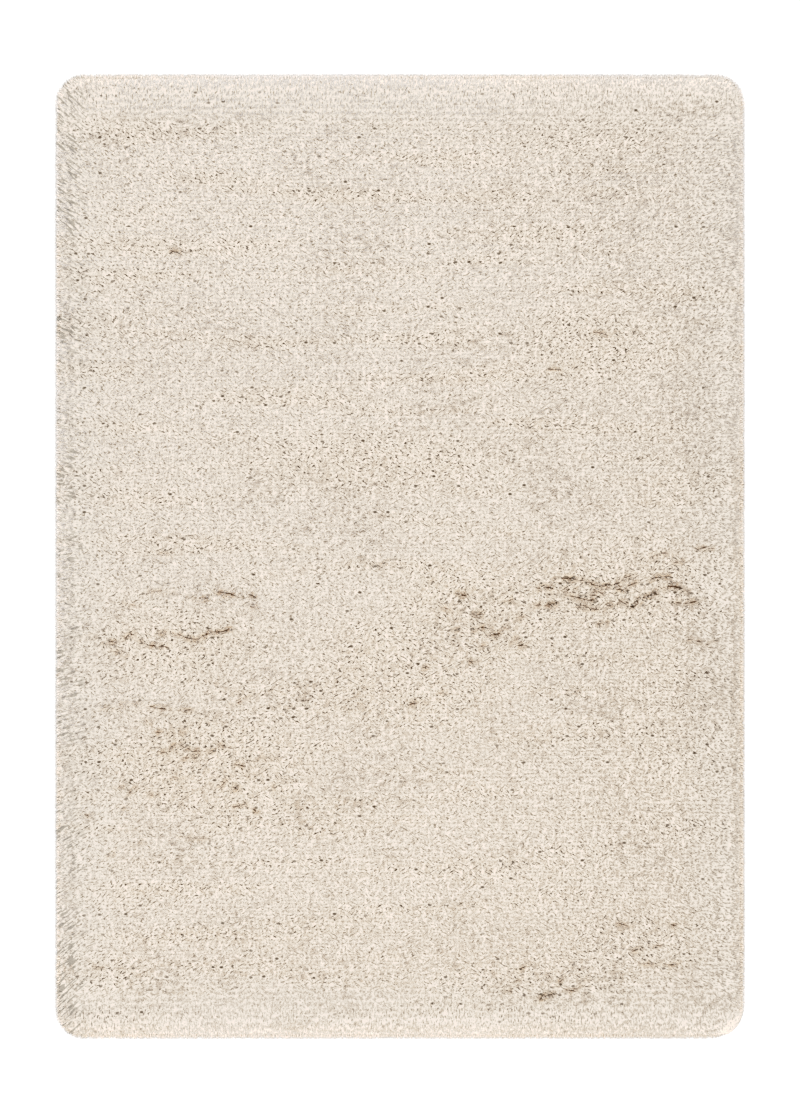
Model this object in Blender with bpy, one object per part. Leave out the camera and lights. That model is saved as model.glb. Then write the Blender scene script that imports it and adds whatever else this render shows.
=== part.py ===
"""A cream shag rug lying flat: one solid of pile on its ground cloth, with locks drooping all round the rim.

Metres, +Z up. The origin is the middle of the underside, +Y runs along the rug, and +X runs across it.
"""

from collections import namedtuple
from math import cos, exp, pi, radians, sin
from random import Random

import bmesh
import bpy
from mathutils import Vector, noise
from mathutils.geometry import delaunay_2d_cdt

# Driving dimensions
GROUND_WIDTH = 1.200  # the tufted ground cloth
GROUND_LENGTH = 1.700
PILE_OVERHANG = 0.025  # how far the outer locks reach past the ground cloth
PILE_HEIGHT = 0.040  # the pile's usual height above the floor
PILE_COLOUR = (0.75, 0.665, 0.56)
PILE_ROUGHNESS = 0.95
SEED = 7

# The rim, as rings with one point for each lock
RIM_OUTSET = 0.008  # the body of the pile, past the ground cloth
WAIST_HEIGHT = 0.016
SHOULDER_HEIGHT = 0.031
SHOULDER_OUTSET = 0.005
CREST_INSET = 0.022
LEAST_CORNER = 0.010
SEGMENTS_ACROSS = 56
SEGMENTS_ALONG = 82
SEGMENTS_CORNER = 4

Corner = namedtuple("Corner", "right top radius")
CORNERS = (
    Corner(right=1, top=-1, radius=0.065),
    Corner(right=1, top=1, radius=0.052),
    Corner(right=-1, top=1, radius=0.054),
    Corner(right=-1, top=-1, radius=0.052),
)

# Locks, drawn out of every quad round the rim in turns, low and high
LOCK_LENGTH = PILE_OVERHANG - RIM_OUTSET
LOCK_SHORTER = 0.003  # the most by which a lock falls short
LOCK_SWAY = 0.0025  # the most that a tip strays along the rim
FULL_LOCK_EVERY = 4

LockStep = namedtuple("LockStep", "share width low high")  # shares of the lock's length and of its quad's width
LOWER_LOCK = (
    LockStep(share=0.60, width=0.88, low=0.0, high=0.0115),
    LockStep(share=1.00, width=0.44, low=0.0, high=0.0045),
)
UPPER_LOCK = (
    LockStep(share=0.55, width=0.86, low=0.0130, high=0.0250),
    LockStep(share=1.00, width=0.42, low=0.0070, high=0.0125),
)

# The top's hummocks and swells
HUMMOCK_PITCH = 0.040
HUMMOCK_JITTER = 0.008
HUMMOCK_RISE = 0.011
SWELLS_PER_METRE = 4.0
SWELL_RISE = 0.003

# Creases, where the pile has parted
CREASE_STEP = 0.022
CREASE_CLEARANCE = 0.009
HUMMOCK_CLEARANCE = 0.015

Crease = namedtuple("Crease", "start end bow waves depth half_width")
CREASES = (
    Crease(start=(0.262, -0.040), end=(0.500, -0.032), bow=0.010, waves=1.5, depth=0.017, half_width=0.014),
    Crease(start=(0.240, -0.088), end=(0.555, -0.068), bow=0.009, waves=2.0, depth=0.017, half_width=0.014),
    Crease(start=(0.455, 0.008), end=(0.560, 0.012), bow=0.004, waves=1.0, depth=0.010, half_width=0.012),
    Crease(start=(-0.540, -0.160), end=(-0.300, -0.130), bow=0.009, waves=2.0, depth=0.014, half_width=0.012),
    Crease(start=(-0.453, -0.066), end=(-0.257, -0.073), bow=0.005, waves=1.5, depth=0.007, half_width=0.012),
    Crease(start=(-0.430, -0.349), end=(-0.255, -0.455), bow=0.014, waves=1.5, depth=0.011, half_width=0.015),
    Crease(start=(-0.560, -0.433), end=(-0.430, -0.404), bow=0.006, waves=1.0, depth=0.008, half_width=0.013),
    Crease(start=(-0.535, -0.275), end=(-0.390, -0.279), bow=0.005, waves=1.0, depth=0.007, half_width=0.012),
    Crease(start=(0.165, -0.805), end=(0.345, -0.785), bow=0.006, waves=1.0, depth=0.011, half_width=0.013),
    Crease(start=(0.340, -0.690), end=(0.520, -0.655), bow=0.006, waves=1.0, depth=0.007, half_width=0.013),
    Crease(start=(-0.250, 0.172), end=(0.160, 0.195), bow=0.007, waves=2.0, depth=0.006, half_width=0.014),
    Crease(start=(0.270, 0.335), end=(0.375, 0.405), bow=0.005, waves=0.5, depth=0.008, half_width=0.013),
    Crease(start=(0.200, -0.150), end=(-0.010, -0.250), bow=0.014, waves=1.0, depth=0.008, half_width=0.020),
)

# The underside's inner rectangle
UNDERSIDE_SHARE = 0.8


def clear_scene():
    for item in list(bpy.data.objects):
        bpy.data.objects.remove(item, do_unlink=True)


def rim_ring(outset):
    """Points of the rug's outline, moved outset metres out from the ground cloth, anticlockwise from low right."""
    half_x = GROUND_WIDTH / 2 + outset
    half_y = GROUND_LENGTH / 2 + outset
    arcs = []
    for number, corner in enumerate(CORNERS):
        radius = max(corner.radius - PILE_OVERHANG + outset, LEAST_CORNER)
        centre = Vector((corner.right * (half_x - radius), corner.top * (half_y - radius)))
        first = radians(-90 + 90 * number)
        angles = [first + step / SEGMENTS_CORNER * pi / 2 for step in range(SEGMENTS_CORNER + 1)]
        arcs.append([centre + radius * Vector((cos(angle), sin(angle))) for angle in angles])
    ring = []
    for number, arc in enumerate(arcs):
        next_side = arcs[(number + 1) % len(arcs)][0]
        segments = SEGMENTS_ACROSS if number % 2 else SEGMENTS_ALONG
        ring += arc
        ring += [arc[-1].lerp(next_side, step / segments) for step in range(1, segments)]
    return ring


def crease_line(crease, aside=0.0):
    """Points along a crease, moved aside metres square to it."""
    start, end = Vector(crease.start), Vector(crease.end)
    along = (end - start).normalized()
    across = Vector((-along.y, along.x))
    steps = max(3, round((end - start).length / CREASE_STEP))
    line = []
    for step in range(steps + 1):
        share = step / steps
        wave = crease.bow * sin(2 * pi * crease.waves * share)
        line.append(start.lerp(end, share) + across * (wave + aside))
    return line


def distance_to_line(point, line):
    nearest = GROUND_LENGTH
    for first, second in zip(line, line[1:]):
        run = second - first
        share = min(1.0, max(0.0, (point - first).dot(run) / run.length_squared))
        nearest = min(nearest, (point - first - run * share).length)
    return nearest


def hummock(point):
    return HUMMOCK_RISE * noise.noise(Vector((point.x, point.y, 0.0)) / HUMMOCK_PITCH)


def pile_top(point, lines):
    """Height of the pile above the floor: its usual height, hummocks, broad swells, and the creases cut down."""
    swell = SWELL_RISE * noise.noise(Vector((point.x, point.y, 1.0)) * SWELLS_PER_METRE)
    height = PILE_HEIGHT + hummock(point) + swell
    for crease, line in zip(CREASES, lines):
        away = distance_to_line(point, line) / crease.half_width
        height -= crease.depth * exp(-2.0 * away * away)
    return height


def keep_apart(points, taken, clearance):
    """The points that lie clear of those taken and of each other."""
    kept = []
    for point in points:
        if all((point - other).length > clearance for other in taken + kept):
            kept.append(point)
    return kept


def top_points(ring, lines):
    """Plan points inside the crest: along the creases and both their shoulders, then hummocks in staggered rows."""
    points = keep_apart([point for line in lines for point in line], ring, CREASE_CLEARANCE)
    for crease in CREASES:
        for side in (-1, 1):
            shoulder = crease_line(crease, side * crease.half_width)
            points += keep_apart(shoulder, ring + points, CREASE_CLEARANCE)
    scatter = Random(SEED)
    half_x = GROUND_WIDTH / 2 - CREST_INSET
    half_y = GROUND_LENGTH / 2 - CREST_INSET
    columns = int(2 * half_x / HUMMOCK_PITCH)
    rows = int(2 * half_y / (HUMMOCK_PITCH * sin(pi / 3)))
    hummocks = []
    for row in range(1, rows):
        for column in range(columns):
            across = (column + 0.25 + row % 2 / 2) / columns
            place = Vector(((2 * across - 1) * half_x, (2 * row / rows - 1) * half_y))
            place += Vector((scatter.uniform(-1, 1), scatter.uniform(-1, 1))) * HUMMOCK_JITTER
            if min(half_x - abs(place.x), half_y - abs(place.y)) > HUMMOCK_PITCH / 2:
                hummocks.append(place)
    return points + keep_apart(hummocks, points, HUMMOCK_CLEARANCE)


def add_ring(mesh, ring, height):
    return [mesh.verts.new((point.x, point.y, height)) for point in ring]


def join_rings(mesh, lower, upper):
    """The band of quads between two rings, facing out."""
    band = []
    for number, low in enumerate(lower):
        after = (number + 1) % len(lower)
        band.append(mesh.faces.new((low, lower[after], upper[after], upper[number])))
    return band


def fill_ring(mesh, ring, inner, height_at):
    """Triangles that close a ring through points inside it, each at its own height."""
    outline = [vert.co.xy for vert in ring]
    plan, _, triangles, sources, _, _ = delaunay_2d_cdt(outline + inner, [], [range(len(ring))], 1, 1e-6)
    verts = []
    for place, source in zip(plan, sources):
        if min(source) < len(ring):
            verts.append(ring[min(source)])
        else:
            verts.append(mesh.verts.new((place.x, place.y, height_at(place))))
    for triangle in triangles:
        mesh.faces.new([verts[number] for number in triangle])


def draw_out_lock(mesh, face, steps, shorter, sway):
    """A four-sided lock drawn out of one quad of the rim, whose first two corners are its lower ones."""
    roots = [vert.co.copy() for vert in face.verts]
    middle = (roots[0] + roots[1]) / 2
    along = (roots[1] - roots[0]).normalized()
    outward = along.cross(Vector((0, 0, 1)))
    for step in steps:
        face = bmesh.ops.extrude_discrete_faces(mesh, faces=[face])["faces"][0]
        reach = middle + outward * (LOCK_LENGTH - shorter) * step.share
        for corner, (vert, root) in enumerate(zip(face.verts, roots)):
            aside = (root - middle).dot(along) * step.width + sway * step.share
            vert.co = reach + along * aside
            vert.co.z = step.low if corner < 2 else step.high


def make_rug():
    mesh = bmesh.new()
    lines = [crease_line(crease) for crease in CREASES]
    floor = add_ring(mesh, rim_ring(RIM_OUTSET), 0.0)
    waist = add_ring(mesh, rim_ring(RIM_OUTSET), WAIST_HEIGHT)
    shoulder = add_ring(mesh, rim_ring(SHOULDER_OUTSET), SHOULDER_HEIGHT)
    crest = add_ring(mesh, rim_ring(-CREST_INSET), PILE_HEIGHT)
    for vert in shoulder:
        vert.co.z += hummock(vert.co.xy)
    for vert in crest:
        vert.co.z = pile_top(vert.co.xy, lines)
    lower_band = join_rings(mesh, floor, waist)
    upper_band = join_rings(mesh, waist, shoulder)
    join_rings(mesh, shoulder, crest)
    fill_ring(mesh, crest, top_points([vert.co.xy for vert in crest], lines), lambda place: pile_top(place, lines))
    inner = [
        Vector((corner.right * GROUND_WIDTH, corner.top * GROUND_LENGTH)) / 2 * UNDERSIDE_SHARE
        for corner in CORNERS
    ]
    fill_ring(mesh, floor, inner, lambda place: 0.0)
    scatter = Random(SEED)
    for number, (low_quad, high_quad) in enumerate(zip(lower_band, upper_band)):
        shorter = scatter.uniform(0.0, LOCK_SHORTER) if number % FULL_LOCK_EVERY > 1 else 0.0
        sway = scatter.uniform(-LOCK_SWAY, LOCK_SWAY)
        if number % 2:
            draw_out_lock(mesh, high_quad, UPPER_LOCK, shorter, sway)
        else:
            draw_out_lock(mesh, low_quad, LOWER_LOCK, shorter, sway)
    bmesh.ops.recalc_face_normals(mesh, faces=mesh.faces)
    data = bpy.data.meshes.new("shag_rug")
    mesh.to_mesh(data)
    mesh.free()
    data.shade_smooth()
    data.set_sharp_from_angle(angle=radians(60))
    rug = bpy.data.objects.new("shag_rug", data)
    bpy.context.scene.collection.objects.link(rug)
    return rug


def pile_yarn():
    material = bpy.data.materials.new("pile_yarn")
    material.use_nodes = True
    surface = material.node_tree.nodes["Principled BSDF"]
    surface.inputs["Base Color"].default_value = (*PILE_COLOUR, 1.0)
    surface.inputs["Roughness"].default_value = PILE_ROUGHNESS
    surface.inputs["Metallic"].default_value = 0.0
    return material


clear_scene()
rug = make_rug()
rug.data.materials.append(pile_yarn())
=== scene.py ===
"""A cream long-pile shag rug, laid flat on a pale studio floor and seen from straight above."""

from collections import namedtuple
from math import cos, pi, radians, sin

import bmesh
import bpy
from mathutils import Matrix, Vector


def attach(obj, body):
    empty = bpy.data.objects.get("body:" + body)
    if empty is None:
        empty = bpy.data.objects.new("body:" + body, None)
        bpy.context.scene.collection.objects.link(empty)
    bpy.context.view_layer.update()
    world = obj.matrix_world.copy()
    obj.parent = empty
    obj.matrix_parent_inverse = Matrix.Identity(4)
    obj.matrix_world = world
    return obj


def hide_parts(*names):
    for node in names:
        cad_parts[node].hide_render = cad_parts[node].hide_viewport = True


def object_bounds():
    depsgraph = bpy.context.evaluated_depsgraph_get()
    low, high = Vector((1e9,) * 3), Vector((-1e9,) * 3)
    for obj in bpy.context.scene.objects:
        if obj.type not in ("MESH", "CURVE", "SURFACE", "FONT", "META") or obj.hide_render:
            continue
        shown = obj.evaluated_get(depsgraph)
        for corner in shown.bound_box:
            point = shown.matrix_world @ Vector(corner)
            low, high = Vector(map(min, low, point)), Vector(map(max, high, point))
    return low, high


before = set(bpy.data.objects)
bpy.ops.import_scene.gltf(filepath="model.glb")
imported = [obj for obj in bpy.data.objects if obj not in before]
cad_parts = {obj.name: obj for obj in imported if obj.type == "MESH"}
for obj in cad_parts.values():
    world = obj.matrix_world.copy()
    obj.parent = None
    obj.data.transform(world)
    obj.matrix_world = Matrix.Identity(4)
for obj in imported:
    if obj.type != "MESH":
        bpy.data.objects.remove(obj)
cad_low, cad_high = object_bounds()
scene = bpy.context.scene


# Camera. It looks straight down at the middle of the rug, upright in the frame, so both rims are seen alike. In a
# frame 800 pixels wide and 1113 high the rug is 964.5 pixels long, with an 85 mm lens on a 36 mm sensor.

FRAME_HIGH = 1113
RUG_HIGH = 964.5
LENS = 85.0
SENSOR = 36.0
RIM_TOP = 0.012

camera = bpy.data.objects.new("camera", bpy.data.cameras.new("camera"))
camera.data.lens = LENS
camera.data.sensor_width = SENSOR
view_length = (cad_high.y - cad_low.y) * FRAME_HIGH / RUG_HIGH
camera.location = (0, 0, RIM_TOP + view_length / SENSOR * LENS)
scene.collection.objects.link(camera)
scene.camera = camera


# Ground cloth. The pile is tufted through one piece of woven cloth, cut to 120 x 170 cm with rounded corners, and its
# back is coated to hold the tufts. It lies flat on the floor, and only its underside ever shows.

CLOTH_WIDTH = 1.200
CLOTH_LENGTH = 1.700
CLOTH_CORNER = 0.030
CLOTH_THICKNESS = 0.0024
CLOTH_ARC_STEPS = 8
CLOTH_ROUGHNESS = 0.9
CLOTH_COLOUR = (0.60, 0.54, 0.45)
WEAVE_PITCH = 0.0025
WEAVE_DEPTH = 0.0006
WEAVE_STRENGTH = 0.5
SEAM_ROW_PITCH = 0.0072
SEAM_ROW = (0.2, 0.7, 0.0, 1.0)
SEAM_ROW_RISE = 2.0
SEAM_ROW_COLOUR = (0.76, 0.70, 0.61)


def finished_mesh(name, mesh):
    """A mesh as an object, not yet in the scene."""
    data = bpy.data.meshes.new(name)
    mesh.to_mesh(data)
    mesh.free()
    return bpy.data.objects.new(name, data)


def cloth_outline():
    points = []
    for number, (right, top) in enumerate(((1, -1), (1, 1), (-1, 1), (-1, -1))):
        centre = Vector((right * (CLOTH_WIDTH / 2 - CLOTH_CORNER), top * (CLOTH_LENGTH / 2 - CLOTH_CORNER), 0))
        for step in range(CLOTH_ARC_STEPS + 1):
            angle = radians(-90 + 90 * number + 90 * step / CLOTH_ARC_STEPS)
            points.append(centre + CLOTH_CORNER * Vector((cos(angle), sin(angle), 0)))
    return points


def make_ground_cloth():
    mesh = bmesh.new()
    face = mesh.faces.new([mesh.verts.new(point) for point in cloth_outline()])
    top = bmesh.ops.extrude_face_region(mesh, geom=[face])["geom"]
    for item in top:
        if isinstance(item, bmesh.types.BMVert):
            item.co.z = CLOTH_THICKNESS
    bmesh.ops.recalc_face_normals(mesh, faces=mesh.faces)
    return finished_mesh("ground_cloth", mesh)


VECTOR_SUMS = ("LENGTH", "DOT_PRODUCT", "NORMALIZE")
VECTOR_TYPES = ("VECTOR", "RGBA")


class Wire:
    """One output of a node. Each operator on it adds a Math node, or a Vector Math node where one side is a vector."""

    def __init__(self, graph, socket):
        self.graph = graph
        self.socket = socket

    def out(self, name):
        """Another output of the same node."""
        return Wire(self.graph, self.graph.pick(self.socket.node.outputs, name))

    def sum(self, operation, *values):
        wires = [self, *values]
        vector = any(isinstance(w, tuple) or isinstance(w, Wire) and w.socket.type in VECTOR_TYPES for w in wires)
        kind = "ShaderNodeVectorMath" if vector or operation in VECTOR_SUMS else "ShaderNodeMath"
        return self.graph.add(kind, {"operation": operation}, dict(enumerate(wires)))

    def __add__(self, other):
        return self.sum("ADD", other)

    def __sub__(self, other):
        return self.sum("SUBTRACT", other)

    def __mul__(self, other):
        return self.sum("MULTIPLY", other)

    def __truediv__(self, other):
        return self.sum("DIVIDE", other)

    def __rtruediv__(self, other):
        return self.graph.add("ShaderNodeMath", {"operation": "DIVIDE"}, {0: other, 1: self})

    def __radd__(self, other):
        return self.sum("ADD", other)

    def __rmul__(self, other):
        return self.sum("MULTIPLY", other)

    def __rsub__(self, other):
        return (self * -1.0).sum("ADD", other)

    def __pow__(self, other):
        return self.sum("POWER", other)

    def __lt__(self, other):
        return self.sum("LESS_THAN", other)

    def __gt__(self, other):
        return self.sum("GREATER_THAN", other)

    @property
    def parts(self):
        split = self.graph.add("ShaderNodeSeparateXYZ", {}, {0: self})
        return split, split.out("Y"), split.out("Z")


class Graph:
    """A node tree under construction."""

    def __init__(self, tree):
        self.tree = tree

    @staticmethod
    def pick(sockets, key):
        found = [s for s in sockets if s.enabled]
        return found[key] if isinstance(key, int) else next(s for s in found if s.name == key)

    def add(self, kind, settings, inputs, output=0):
        """A new node, with its settings made first and then its inputs, and one of its outputs."""
        node = self.tree.nodes.new(kind)
        for name, value in settings.items():
            setattr(node, name, value)
        for key, value in inputs.items():
            socket = self.pick(node.inputs, key)
            if isinstance(value, Wire):
                self.tree.links.new(value.socket, socket)
            elif isinstance(value, (int, float)) and socket.type == "VECTOR":
                socket.default_value = (value,) * 3
            else:
                socket.default_value = value
        enabled = [s for s in node.outputs if s.enabled]
        return Wire(self, self.pick(node.outputs, output)) if enabled else None

    def vector(self, x=0.0, y=0.0, z=0.0):
        return self.add("ShaderNodeCombineXYZ", {}, {0: x, 1: y, 2: z})

    def ramp(self, value, low, high, from_low, from_high):
        """A smooth step, from one value at low to another at high. Many are kept as these four numbers."""
        settings = {"interpolation_type": "SMOOTHSTEP"}
        return self.add("ShaderNodeMapRange", settings, {0: value, 1: low, 2: high, 3: from_low, 4: from_high})

    def noise(self, place, scale=1.0, detail=0.0, output=0):
        return self.add("ShaderNodeTexNoise", {}, {"Vector": place, "Scale": scale, "Detail": detail}, output)

    def mix(self, factor, first, second):
        """From one colour to another. A colour is a wire or a tuple."""
        first, second = (colour if isinstance(colour, Wire) else (*colour, 1.0) for colour in (first, second))
        return self.add("ShaderNodeMix", {"data_type": "RGBA"}, {"Factor": factor, "A": first, "B": second})

    def feed(self, surface, name, wire):
        self.tree.links.new(wire.socket, surface.inputs[name])


def new_finish(name, settings):
    """A new material, its graph, and its shader with the numbers that are the same all over."""
    material = bpy.data.materials.new(name)
    material.use_nodes = True
    surface = material.node_tree.nodes["Principled BSDF"]
    for socket, value in settings.items():
        surface.inputs[socket].default_value = value
    return material, Graph(material.node_tree), surface


def ground_cloth_material():
    material, graph, surface = new_finish("coated_ground_cloth", {"Roughness": CLOTH_ROUGHNESS})
    x, y, _ = graph.add("ShaderNodeTexCoord", {}, {}, "Object").parts
    warp = (x * (2 * pi / WEAVE_PITCH)).sum("SINE")
    weft = (y * (2 * pi / WEAVE_PITCH)).sum("SINE")
    rows = graph.ramp((y * (2 * pi / SEAM_ROW_PITCH)).sum("SINE"), *SEAM_ROW)
    graph.feed(surface, "Base Color", graph.mix(rows, CLOTH_COLOUR, SEAM_ROW_COLOUR))
    relief = {"Strength": WEAVE_STRENGTH, "Distance": WEAVE_DEPTH, "Height": warp * weft + rows * SEAM_ROW_RISE}
    graph.feed(surface, "Normal", graph.add("ShaderNodeBump", {}, relief))
    return material


ground_cloth = make_ground_cloth()
scene.collection.objects.link(ground_cloth)
ground_cloth.data.materials.append(ground_cloth_material())
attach(ground_cloth, "root")


# Partings: where handling has parted the pile and the deeper yarn shows, darkened by painted shade. Each is a short arc
# from one place on the rug to another, in millimetres from its middle, with the rise of its middle above a straight
# line and how far it opens, up to 1.

Parting = namedtuple("Parting", "from_x from_y to_x to_y rise open")
PARTINGS_RIGHT = (
    Parting(281, -39, 345, -48, 3, 0.8),
    Parting(345, -50, 399, -46, -5, 1.0),
    Parting(399, -43, 421, -34, 2, 0.6),
    Parting(259, -54, 276, -57, 0, 1.0),
    Parting(290, -61, 317, -57, 2, 0.6),
    Parting(345, -66, 366, -68, 3, 1.0),
    Parting(296, -70, 338, -78, 0, 0.7),
    Parting(332, -79, 352, -79, 0, 1.0),
    Parting(259, -90, 283, -86, 2, 0.8),
    Parting(323, -92, 366, -99, 3, 0.7),
    Parting(374, -90, 388, -86, 1, 0.7),
    Parting(399, -81, 435, -84, -8, 1.0),
    Parting(432, -75, 468, -61, -3, 1.0),
    Parting(392, -59, 414, -63, 1, 0.6),
    Parting(410, -55, 430, -46, 0, 0.5),
    Parting(453, -41, 488, -37, 2, 0.9),
    Parting(475, -57, 521, -64, 6, 0.9),
    Parting(497, -83, 539, -79, -3, 0.7),
    Parting(450, -1, 490, 6, 3, 0.7),
    Parting(493, -12, 515, -8, 0, 0.5),
    Parting(535, 12, 566, 15, 2, 0.5),
    Parting(359, -122, 377, -119, 0, 0.7),
    Parting(517, -151, 544, -155, 2, 0.5),
    Parting(553, -160, 575, -151, 2, 0.5),
    Parting(345, 405, 377, 398, 2, 0.4),
    Parting(268, 338, 290, 336, 1, 0.5),
)
PARTINGS_LEFT = (
    Parting(-537, -157, -504, -153, 1, 0.52),
    Parting(-497, -148, -483, -139, 1, 0.68),
    Parting(-483, -141, -461, -159, 0, 0.3),
    Parting(-459, -161, -421, -164, 1, 0.75),
    Parting(-439, -141, -406, -139, 3, 0.6),
    Parting(-399, -141, -363, -150, -2, 0.75),
    Parting(-359, -146, -341, -137, 0, 0.52),
    Parting(-345, -135, -319, -135, -2, 0.75),
    Parting(-319, -137, -305, -130, 0, 0.75),
    Parting(-571, -144, -548, -148, 2, 0.3),
    Parting(-526, -170, -493, -179, 1, 0.38),
    Parting(-341, -64, -305, -68, 1, 0.68),
    Parting(-316, -70, -287, -72, 1, 0.75),
    Parting(-279, -68, -258, -77, 2, 0.68),
    Parting(-385, -73, -363, -75, 0, 0.38),
    Parting(-361, -77, -346, -75, 0, 0.68),
    Parting(-457, -64, -408, -64, 2, 0.3),
    Parting(-499, -84, -472, -90, 0, 0.3),
    Parting(-276, -90, -261, -92, 0, 0.45),
    Parting(-435, 8, -408, 1, 1, 0.3),
    Parting(-414, 552, -399, 549, 0, 0.68),
)
PARTINGS_LOWER_LEFT = (
    Parting(-544, -275, -512, -271, 1, 0.38),
    Parting(-512, -269, -463, -268, 2, 0.3),
    Parting(-457, -271, -414, -278, 1, 0.52),
    Parting(-399, -280, -377, -277, 0, 0.52),
    Parting(-461, -293, -450, -306, 0, 0.38),
    Parting(-439, -318, -430, -317, 0, 0.75),
    Parting(-421, -320, -388, -318, -1, 0.38),
    Parting(-305, -266, -288, -264, 0, 0.45),
    Parting(-287, -260, -261, -260, 3, 0.52),
    Parting(-432, -355, -421, -353, 0, 0.75),
    Parting(-417, -346, -399, -338, 1, 0.52),
    Parting(-392, -344, -381, -347, 0, 0.68),
    Parting(-375, -353, -363, -351, 0, 0.6),
    Parting(-348, -353, -334, -351, 2, 0.68),
    Parting(-325, -340, -307, -346, 0, 0.52),
    Parting(-399, -364, -363, -366, 1, 0.52),
    Parting(-297, -376, -279, -382, 2, 0.68),
    Parting(-279, -396, -265, -398, 0, 0.38),
    Parting(-412, -398, -390, -407, 2, 0.38),
    Parting(-327, -418, -312, -402, -2, 0.38),
    Parting(-307, -416, -290, -424, 2, 0.75),
    Parting(-301, -453, -279, -447, 0, 0.52),
    Parting(-272, -454, -258, -462, 1, 0.68),
    Parting(-515, -420, -497, -413, 1, 0.45),
    Parting(-493, -431, -475, -416, 0, 0.52),
    Parting(-457, -433, -443, -431, 0, 0.38),
    Parting(-568, -434, -551, -442, 1, 0.38),
    Parting(-580, -464, -559, -469, 0, 0.38),
    Parting(-508, -453, -486, -456, 0, 0.38),
    Parting(-399, -507, -348, -511, 1, 0.38),
    Parting(-490, -523, -463, -516, 0, 0.3),
    Parting(-530, -545, -515, -534, 0, 0.45),
    Parting(-239, -415, -221, -418, 0, 0.38),
    Parting(-263, -366, -232, -364, 2, 0.3),
    Parting(-553, -741, -535, -743, 0, 0.38),
)
PARTINGS_MIDDLE = (
    Parting(100, -66, 120, -72, 0, 1.0),
    Parting(189, -81, 200, -79, 0, 1.0),
    Parting(83, -93, 91, -97, 0, 0.7),
    Parting(134, -104, 149, -104, -2, 1.0),
    Parting(136, -132, 152, -128, 1, 1.0),
    Parting(169, -141, 180, -139, 0, 0.9),
    Parting(96, -133, 103, -132, 0, 0.7),
    Parting(203, -155, 210, -148, 0, 0.8),
    Parting(214, -162, 225, -161, 0, 0.7),
    Parting(145, -164, 152, -162, 0, 0.7),
    Parting(44, -202, 49, -199, 0, 0.6),
    Parting(15, -268, 44, -264, 1, 0.5),
    Parting(69, -246, 82, -249, 0, 0.5),
    Parting(123, -188, 131, -190, 0, 0.7),
    Parting(210, -112, 221, -108, 0, 0.5),
    Parting(53, -43, 62, -46, 0, 0.5),
    Parting(247, -57, 254, -59, 0, 0.7),
    Parting(243, -88, 263, -88, 0, 0.5),
)
PARTINGS_BOTTOM_RIGHT = (
    Parting(247, -805, 263, -790, -1, 1.0),
    Parting(263, -795, 276, -792, 0, 0.9),
    Parting(185, -783, 198, -786, 0, 0.7),
    Parting(200, -772, 214, -765, 0, 0.5),
    Parting(218, -745, 230, -739, 0, 0.6),
    Parting(301, -783, 316, -786, 0, 0.7),
    Parting(283, -774, 294, -765, 0, 0.5),
    Parting(323, -776, 336, -770, 0, 0.5),
    Parting(435, -736, 481, -738, 1, 0.5),
    Parting(486, -739, 502, -736, 0, 0.8),
    Parting(421, -714, 435, -710, 1, 0.6),
    Parting(463, -705, 477, -701, 0, 0.5),
    Parting(395, -663, 417, -670, 1, 0.6),
    Parting(486, -665, 508, -670, 0, 0.5),
)
PARTING_STEPS = 4
PARTING_END = 0.2
MM_PER_METRE = 1000
NOISE_MEAN = 0.5
LEVEL = (1.0, 1.0, 0.0)
STRAY = 0.006
STRAY_SCALE = 110.0
RAGGED_SHIFT = (1.0, 9.0, 0.0)
RAGGED_SCALE = 95.0
RAGGED = (0.37, 0.54, 0.25, 1.0)
LASH_SCALE = (230.0, 60.0, 0.0)
LASHES = (0.36, 0.47, 0.35, 1.0)


def make_partings():
    """The partings as lines on one mesh, with how far each opens as an attribute of its points."""
    mesh = bmesh.new()
    opens = mesh.verts.layers.float.new("open")
    groups = (PARTINGS_RIGHT, PARTINGS_LEFT, PARTINGS_LOWER_LEFT, PARTINGS_MIDDLE, PARTINGS_BOTTOM_RIGHT)
    for parting in (row for group in groups for row in group):
        start = Vector((parting.from_x, parting.from_y, 0))
        end = Vector((parting.to_x, parting.to_y, 0))
        before = None
        for step in range(PARTING_STEPS + 1):
            share = step / PARTING_STEPS
            place = start.lerp(end, share) + Vector((0, parting.rise * sin(pi * share), 0))
            vert = mesh.verts.new(place / MM_PER_METRE)
            vert[opens] = parting.open * sin(pi * (PARTING_END + (1 - 2 * PARTING_END) * share))
            if before:
                mesh.edges.new((before, vert))
            before = vert
    return finished_mesh("partings", mesh)


def pile_partings(graph, partings_object, place):
    """The nearest parting to a place: the way from it, how far that is, and how open it is there, from 0 to 1."""
    lines = graph.add("GeometryNodeObjectInfo", {}, {"Object": partings_object}, "Geometry")
    sample = place + (graph.noise(place, STRAY_SCALE, detail=1.0, output="Color") - NOISE_MEAN) * (STRAY, STRAY, 0.0)
    given = {"Geometry": lines, "Sample Position": sample}
    nearest = graph.add("GeometryNodeProximity", {"target_element": "EDGES"}, given, "Position")
    vertex = graph.add("GeometryNodeSampleNearest", {"domain": "POINT"}, given)
    value = graph.add("GeometryNodeInputNamedAttribute", {"data_type": "FLOAT"}, {"Name": "open"})
    settings = {"data_type": "FLOAT", "domain": "POINT"}
    opening = graph.add("GeometryNodeSampleIndex", settings, {"Geometry": lines, "Value": value, "Index": vertex})
    ragged = graph.ramp(graph.noise(place + RAGGED_SHIFT, RAGGED_SCALE), *RAGGED)
    lash = graph.ramp(graph.noise(place * LASH_SCALE), *LASHES)
    return (sample - nearest) * LEVEL, nearest.out("Distance"), opening * ragged * lash


partings = make_partings()


# Marks on the pile. Walking and handling leave fine ripples across the rug, and ruffled patches with small holes, and
# between all the tips lie small gaps. The strands and the pile below them both follow these marks, and the materials
# paint shade in the gaps and holes, and the inner pile's in the ripples too.

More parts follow.
